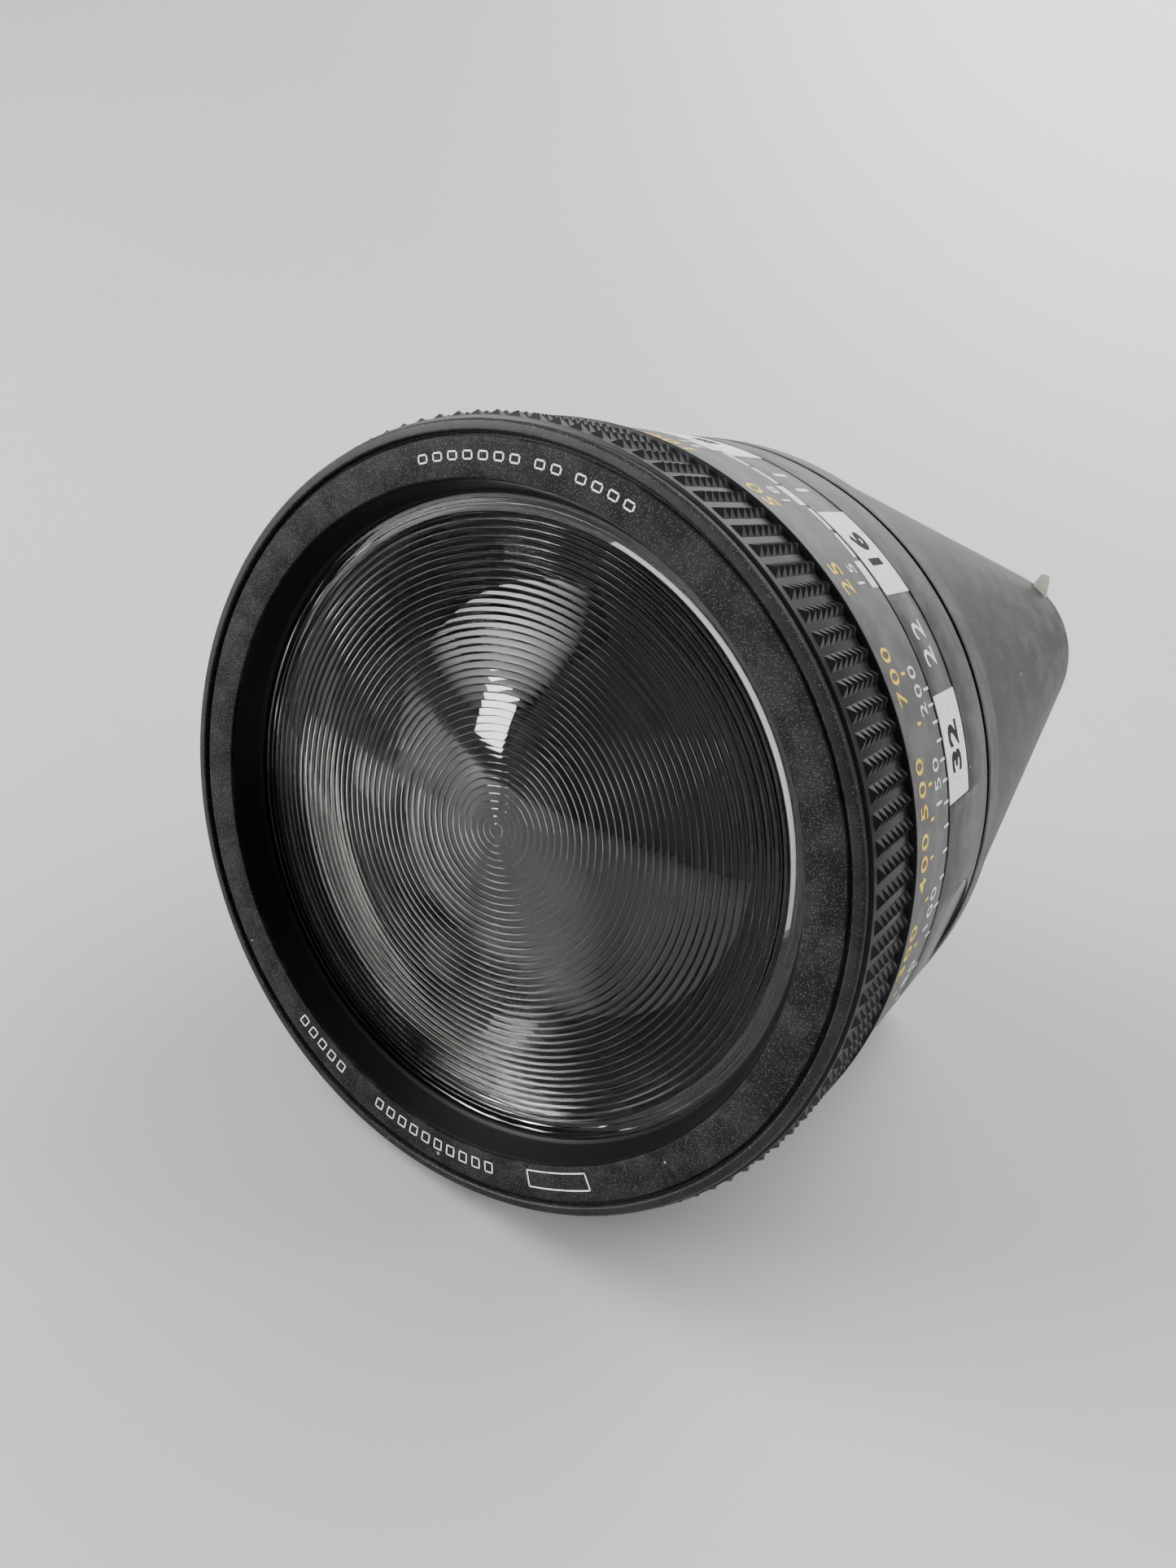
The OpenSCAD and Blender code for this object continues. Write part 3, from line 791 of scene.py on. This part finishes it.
class TELE_OT_strip(bpy.types.Operator):
    """Strip of f-stops with its white blocks, numbers and the film-speed mark"""
    bl_idname = "tele.strip"
    bl_label = "f-stop strip"

    def execute(self, context):
        stop = math.degrees(context.scene.tele_sizes.stop_turn)
        play = 0.12
        a0, a1 = STRIP_FROM + play, STRIP_FROM + STRIP_ARC - play
        ob = turned("stop_strip", [
            (55.5, 33.62), (56.7, 33.62), (56.82, 33.68), (56.87, 33.8), (56.87, 44.15), (56.82, 44.25),
            (55.5, 44.3)], 133, a0, a1 - a0)
        dress(ob, "attachment", finish_of("strip"), "strip_black", "aperture_strip")
        blocks, dark, light = [], [], []
        first = STRIP_FROM + 0.3
        for k, label in enumerate(("32", "22", "16", "11", "8", "5.6", "4", "2.8")):
            a = first + k * stop
            middle = a + stop / 2 - 0.3
            if k % 2 == 0:
                blocks.append(bar("block", 56.8, 56.97, 33.7, 44.2, a, a + stop, 12))
                dark.append(figure(label, 4.7, middle, 39.0, 56.97, 0.03, 0.24, 1.1, 1.05))
            else:
                light.append(figure(label, 4.5, middle, 39.0, 56.87, 0.04, 0.04, 1.04, 1.25))
        speed_turn, half = 149.5, 0.45
        mark = bar("speed_mark", 56.8, 56.97, 33.85, 38.5, speed_turn - half, speed_turn + half, 1)
        dress(mark, "attachment", finish_of("white"), "print_white", "speed_index")
        dress(join("white_blocks", blocks), "attachment", finish_of("white"), "print_white", "stop_blocks")
        dress(join("dark_numbers", dark), "attachment", finish_of("dark"), "strip_black")
        dress(join("light_numbers", light), "attachment", finish_of("white"), "print_white")
        return {"FINISHED"}


class TELE_OT_lock(bpy.types.Operator):
    """Finely toothed ring in the joint between barrel and housing, in the deepest black as painted shade for
    the shadow in the joint
    """
    bl_idname = "tele.lock"
    bl_label = "Lock ring"

    def execute(self, context):
        ob = turned("lock_ring_core", [
            (52.45, 56.72), (55.0, 56.72), (55.0, 57.45), (56.45, 57.45), (56.5, 57.5), (56.5, 57.83),
            (52.45, 57.83)], 240)
        n = context.scene.tele_sizes.teeth
        step = 360.0 / n
        tooth = bar("tooth", 56.4, 57.0, 57.5, 57.85, -step * 0.27, step * 0.27, 1)
        all_teeth = copies(tooth, [k * step for k in range(1, n)]) + [tooth]
        ob = join("toothed_lock_ring", [ob] + all_teeth)
        dress(ob, "attachment", finish_of("cone"), "cone_black", "lock_ring")
        return {"FINISHED"}


class TELE_OT_plugs(bpy.types.Operator):
    """Round flat plugs over the side screws"""
    bl_idname = "tele.plugs"
    bl_label = "Side plugs"

    def execute(self, context):
        parts = []
        for side in (1, -1):
            parts.append(bevel(side_disc(side, 8.5, 1.5, 56.5 - 0.75), 0.18, 3))
        ob = smooth(join("side_discs", parts), 30.0)
        dress(ob, "attachment", finish_of("plug"), "plug_grey", "side_plugs")
        return {"FINISHED"}


def outline_loop(w, h, c, depth, corner=20):
    """A rounded rectangle as a mesh: a plane, scaled, its corners bevelled."""
    calm()
    bpy.ops.mesh.primitive_plane_add(size=2.0)
    ob = bpy.context.object
    ob.scale = (w * MM, h * MM, 1.0)
    settle(ob)
    bpy.ops.object.mode_set(mode="EDIT")
    bpy.ops.mesh.select_all(action="SELECT")
    bpy.ops.mesh.bevel(offset=c * MM, segments=corner, affect="VERTICES")
    bpy.ops.object.mode_set(mode="OBJECT")
    ob.rotation_euler = (math.radians(90.0), 0, 0)
    ob.location = (0, FRONT + depth * MM, 0)
    return settle(ob)


def round_loop(r, depth, n=256):
    calm()
    bpy.ops.mesh.primitive_circle_add(vertices=n, radius=r * MM, fill_type="NGON")
    ob = bpy.context.object
    ob.rotation_euler = (math.radians(90.0), 0, 0)
    ob.location = (0, FRONT + depth * MM, 0)
    return settle(ob)


def drawn_over(name, *loops):
    """Straight-sided solid drawn over two outlines, as a skin is stretched over two rings."""
    ob = join(name, list(loops))
    only(ob)
    bpy.ops.object.mode_set(mode="EDIT")
    bpy.ops.mesh.select_all(action="SELECT")
    bpy.ops.mesh.convex_hull()
    bpy.ops.object.mode_set(mode="OBJECT")
    return outward(ob, 0.000002)


class TELE_OT_housing(bpy.types.Operator):
    """Collar and funnel from the round barrel to the rounded socket"""
    bl_idname = "tele.housing"
    bl_label = "Rear housing"

    def execute(self, context):
        ob = drawn_over("funnel", round_loop(56.9, 63.4), outline_loop(52.1, MOUTH_HALF, 17.4, LENGTH))
        collar = turned("collar", [
            (0.0, 41.0), (52.4, 41.0), (52.4, 57.95), (56.4, 57.95), (56.95, 58.1), (57.1, 58.4),
            (57.1, 64.1), (56.9, 64.4), (0.0, 64.4)], 256)
        cut(ob, collar, "UNION")
        bore = turned("bore", [(0.0, 39.0), (50.0, 39.0), (50.0, 63.4), (0.0, 63.4)], 240)
        cut(ob, bore)
        inner = drawn_over("inside", round_loop(51.0, 62.4, 240), outline_loop(45.5, 40.5, 12.4, 88.9))
        cut(ob, inner)
        socket = (48.5, 43.5, 15.4)
        well = drawn_over("well", outline_loop(*socket, 88.4), outline_loop(*socket, LENGTH + 3))
        cut(ob, well)
        # for each catch a slot through the wall, and a pocket for its spring in front of it
        for side in (1, -1):
            for wide, low, high, front, back in ((3.4, 36.0, 56.0, 2.2, 0.6), (2.6, 36.0, 43.0, 4.4, 1.4)):
                calm()
                bpy.ops.mesh.primitive_cube_add(size=1.0)
                slot = bpy.context.object
                slot.scale = (wide * MM, (front - back) * MM, (high - low) * MM)
                slot.location = (side * CATCH_X * MM, MOUTH - (front + back) / 2 * MM, (low + high) / 2 * MM)
                settle(slot)
                cut(ob, slot)
        named(ob, "funnel_housing")
        bevel(ob, 0.22, 2, 42.0)
        outward(ob, 0.000002)
        smooth(ob, 24.0)
        dress(ob, "attachment", finish_of("housing"), "housing_black", "rear_housing")
        # faces that look towards the axis are the inside; they get the matt inner black, far darker than the
        # outside of the same moulding, as painted shade inside the funnel
        ob.data.materials.append(finish_of("inner"))
        for f in ob.data.polygons:
            if f.normal.x * f.center.x + f.normal.z * f.center.z < -0.2 * MM:
                f.material_index = 1
        return {"FINISHED"}


class TELE_OT_inner_finishes(bpy.types.Operator):
    """Finishes of the CAD parts that keep their own shape"""
    bl_idname = "tele.inner_finishes"
    bl_label = "Inner parts"

    def execute(self, context):
        finishes = {
            "inner": ("lens_retainer", "inner_baffle", "stop_frame"),
            "steel": ("clamp_screws", "stop_pin", "drag_ball", "drag_spring", "frame_screws", "catch_pins",
                      "spring_right", "spring_left"),
            "washer": ("glide_washer",),
            "felt": ("pads_wide", "pads_tall"),
            "catch": ("catch_right", "catch_left"),
        }
        for finish, nodes in finishes.items():
            for n in nodes:
                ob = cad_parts[n]
                ob.data.materials.clear()
                ob.data.materials.append(finish_of(finish))
        for n, wide in (("catch_right", 0.22), ("catch_left", 0.22), ("stop_frame", 0.25),
                        ("frame_screws", 0.1), ("pads_wide", 0.5), ("pads_tall", 0.5)):
            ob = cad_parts[n]
            weld = ob.modifiers.new("weld", "WELD")
            weld.merge_threshold = 0.00001
            edge = ob.modifiers.new("edge", "BEVEL")
            edge.width = wide * MM
            edge.segments = 2
            edge.angle_limit = math.radians(35.0)
        # each spring leaf gets a mesh of its own
        for n, joint, x in (("spring_right", "right_catch_slide", 0.0412),
                            ("spring_left", "left_catch_slide", -0.0412)):
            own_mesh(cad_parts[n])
        return {"FINISHED"}


def aim(ob, place, target):
    """Stands a light somewhere and turns it towards a point."""
    ob.location = place
    ob.rotation_euler = (Vector(target) - Vector(place)).to_track_quat("-Z", "Y").to_euler()


# the camera's own right and forward directions, and where it stands
RIGHT = Vector((0.807, 0.526, 0.267))
FORWARD = Vector((-0.409, 0.825, -0.389))
EYE = Vector((0.0718, -0.2210, 0.0703))


def stand_camera(scene):
    """The camera, with its picture level along the camera's own right."""
    fwd = FORWARD.normalized()
    right = (RIGHT - fwd * RIGHT.dot(fwd)).normalized()
    down = fwd.cross(right)
    data = bpy.data.cameras.new("camera")
    cam = bpy.data.objects.new("camera", data)
    bpy.context.collection.objects.link(cam)
    m = Matrix((right, -down, -fwd)).transposed().to_4x4()
    m.translation = EYE
    cam.matrix_world = m
    data.sensor_width = 36.0
    data.lens = 25.0
    data.clip_start = 0.005
    scene.camera = cam


def floor_grey():
    """Matt pale grey, very slightly uneven."""
    m, t, b, where = blank("sweep grey")
    n = put(t, "ShaderNodeTexNoise", Scale=4.0, Detail=3.0)
    t.links.new(where, n.inputs["Vector"])
    t.links.new(mix(t, n.outputs["Fac"], (0.52, 0.525, 0.53), (0.56, 0.56, 0.56)), b.inputs["Base Color"])
    t.links.new(maths(t, "ADD", maths(t, "MULTIPLY", n.outputs["Fac"], 0.1), 0.5), b.inputs["Roughness"])
    return m


def lay_floor():
    """The floor slopes up from under the front to the lower edge of the mouth, and curves up far behind."""
    fwd = FORWARD.normalized()
    slope = math.atan2(GRIP_RIM_R - MOUTH_HALF, 98.0)
    up = Vector((0.0, -math.sin(slope), math.cos(slope)))
    away = (fwd - up * fwd.dot(up)).normalized()
    across = away.cross(up)
    foot = Vector((0, MOUTH, -MOUTH_HALF * MM)) - up * 0.0001
    calm()
    bpy.ops.mesh.primitive_grid_add(size=2.0, x_subdivisions=24, y_subdivisions=96)
    floor = named(bpy.context.object, "floor")
    bend, radius = 0.45, 1.1
    for v in floor.data.vertices:
        x, y = v.co.x * 4.0, v.co.y * 3.0 + 0.8
        rise = 0.0
        if y > bend:
            a = min((y - bend) / radius, math.pi / 2)
            rise = radius * (1 - math.cos(a)) + max(0.0, y - bend - radius * math.pi / 2)
            y = bend + radius * math.sin(a)
        v.co = foot + across * x + away * y + up * rise
    smooth(floor, 60.0)
    floor.data.materials.append(floor_grey())


def light_air(scene):
    """Even light from all round."""
    world = bpy.data.worlds.new("room")
    scene.world = world
    world.use_nodes = True
    background = world.node_tree.nodes["Background"]
    background.inputs["Color"].default_value = (0.86, 0.87, 0.88, 1)
    background.inputs["Strength"].default_value = 0.22


def soft_glow():
    """Light that is brightest in the middle of a plane and fades to its edges."""
    m, t, b, where = blank("soft glow")
    fade = put(t, "ShaderNodeTexGradient", gradient_type="SPHERICAL")
    place = put(t, "ShaderNodeMapping")
    place.inputs["Scale"].default_value = (2.0, 2.0, 2.0)
    t.links.new(where, place.inputs["Vector"])
    t.links.new(place.outputs["Vector"], fade.inputs["Vector"])
    t.links.new(maths(t, "MULTIPLY", fade.outputs["Fac"], 17.0), b.inputs["Emission Strength"])
    b.inputs["Emission Color"].default_value = (1, 1, 1, 1)
    b.inputs["Base Color"].default_value = (0, 0, 0, 1)
    b.inputs["Roughness"].default_value = 1.0
    b.inputs["Specular IOR Level"].default_value = 0.0
    return m


def hang_soft_light():
    """A wide soft light on the front left."""
    calm()
    bpy.ops.mesh.primitive_grid_add(size=1.0, x_subdivisions=4, y_subdivisions=4)
    soft = named(bpy.context.object, "soft_front_left")
    soft.scale = (1.7, 1.6, 1.0)
    aim(soft, (-1.12, -0.78, 0.80), (0.0, -0.1, 0.0))
    soft.data.materials.append(soft_glow())


# name, place, what it points at, width, height and watts
LIGHTS = (
    ("overhead", (0.30, 0.75, 1.5), (0.05, 0.25, 0.0), 1.8, 1.2, 34.0),
    ("backdrop", (0.0, 0.9, 1.0), (0.0, 2.2, 0.4), 1.2, 0.8, 13.0),
    ("window", (-0.78, -0.98, 0.17), (0.0, -0.1, 0.0), 0.27, 0.32, 12.0),
    ("right side", (1.0, 0.375, 0.625), (0.0, -0.05, 0.0), 0.22, 0.22, 5.0),
)


def hang_lights():
    """The rectangular lights of the table above."""
    for name, place, target, wide, high, power in LIGHTS:
        data = bpy.data.lights.new(name, "AREA")
        data.shape = "RECTANGLE"
        data.size = wide
        data.size_y = high
        data.energy = power
        ob = bpy.data.objects.new(name, data)
        bpy.context.collection.objects.link(ob)
        aim(ob, place, target)


class TELE_OT_stage(bpy.types.Operator):
    """Floor, lights and camera"""
    bl_idname = "tele.stage"
    bl_label = "Stage"

    def execute(self, context):
        stand_camera(context.scene)
        lay_floor()
        light_air(context.scene)
        hang_soft_light()
        hang_lights()
        return {"FINISHED"}


PIECES = (
    TELE_OT_bezel, TELE_OT_name_ring, TELE_OT_cone, TELE_OT_lens, TELE_OT_grip, TELE_OT_ring, TELE_OT_body,
    TELE_OT_strip, TELE_OT_lock, TELE_OT_plugs, TELE_OT_housing, TELE_OT_inner_finishes, TELE_OT_stage,
)


class TELE_PT_panel(bpy.types.Panel):
    """Sizes, colours and one button for each piece"""
    bl_idname = "TELE_PT_panel"
    bl_label = "Tele attachment"
    bl_space_type = "VIEW_3D"
    bl_region_type = "UI"
    bl_category = "Tele attachment"

    def draw(self, context):
        for settings in (context.scene.tele_sizes, context.scene.tele_colours):
            for key in settings.__annotations__:
                self.layout.prop(settings, key)
        for piece in PIECES:
            self.layout.operator(piece.bl_idname)


def register():
    for c in (TeleSizes, TeleColours, *PIECES, TELE_PT_panel):
        bpy.utils.register_class(c)
    bpy.types.Scene.tele_sizes = bpy.props.PointerProperty(type=TeleSizes)
    bpy.types.Scene.tele_colours = bpy.props.PointerProperty(type=TeleColours)


def unregister():
    del bpy.types.Scene.tele_colours
    del bpy.types.Scene.tele_sizes
    for c in reversed((TeleSizes, TeleColours, *PIECES, TELE_PT_panel)):
        bpy.utils.unregister_class(c)


def main():
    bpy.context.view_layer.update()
    register()
    for piece in PIECES:
        area, name = piece.bl_idname.split(".")
        getattr(getattr(bpy.ops, area), name)()
    calm()


if __name__ == "__main__":
    main()
